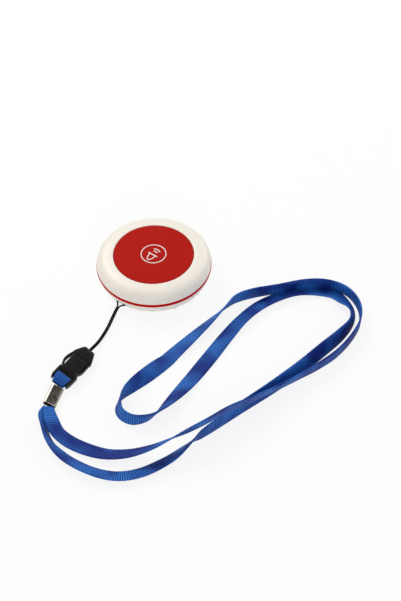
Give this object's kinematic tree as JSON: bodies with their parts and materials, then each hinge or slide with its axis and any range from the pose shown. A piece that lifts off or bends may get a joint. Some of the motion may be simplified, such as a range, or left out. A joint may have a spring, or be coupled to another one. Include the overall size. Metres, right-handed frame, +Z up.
{
  "type": "caregiver pager button",
  "caption": "Round call-button pendant with one large sprung key, red seam ring, thin cord loop, side-release buckle, crimp and flat woven neck strap.",
  "frame": {"origin": "centre of the case's flat underside", "axes": "+Z up through the call key; -Y from the case's centre to the strap anchor"},
  "size_m": [0.1401, 0.1707, 0.0169],
  "materials": {
    "shell": "warm white, satin",
    "trim": "bright red, glossy",
    "key": "red, fine satin",
    "print": "white ink",
    "board": "green solder mask",
    "black_plastic": "black, moulded",
    "switch_cap": "tan",
    "nickel": "bright nickel plate",
    "steel": "zinc plated",
    "copper": "enamelled wire",
    "cord": "black braid",
    "webbing": "blue ribbed grosgrain"
  },
  "bodies": {
    "case": {"bottom_cover": "shell", "top_cover": "shell", "accent_ring": "trim", "circuit_board": "board", "switch_body": "black_plastic", "battery_cell": "nickel", "battery_clip": "steel", "battery_contact": "steel", "encoder_chip": "black_plastic", "radio_chip": "black_plastic", "crystal_can": "steel", "capacitor": "switch_cap", "antenna_wire": "copper", "board_screw_1": "steel", "board_screw_2": "steel", "case_screw_1": "steel", "case_screw_2": "steel", "case_screw_3": "steel", "cord_loop": "cord", "buckle_plug": "black_plastic", "buckle_socket": "black_plastic", "webbing_fold": "webbing", "webbing_crimp": "nickel", "neck_strap": "webbing"},
    "key": {"call_key": "key", "symbol_ring": "print", "symbol_bell": "print", "symbol_wave_left": "print", "symbol_wave_right": "print"},
    "plunger": {"switch_plunger": "switch_cap"}
  },
  "joints": [
    {"name": "key_press", "type": "slide", "parent": "case", "child": "key", "axis": [0, 0, -1], "range_m": [0, 0.0005], "stiffness_N_per_m": 1500, "springref_m": -0.0002},
    {"name": "plunger_press", "type": "slide", "parent": "case", "child": "plunger", "axis": [0, 0, -1], "range_m": [0, 0.0005]}
  ],
  "couplings": [
    {"joint": "plunger_press", "follows": "key_press", "ratio": 1}
  ]
}
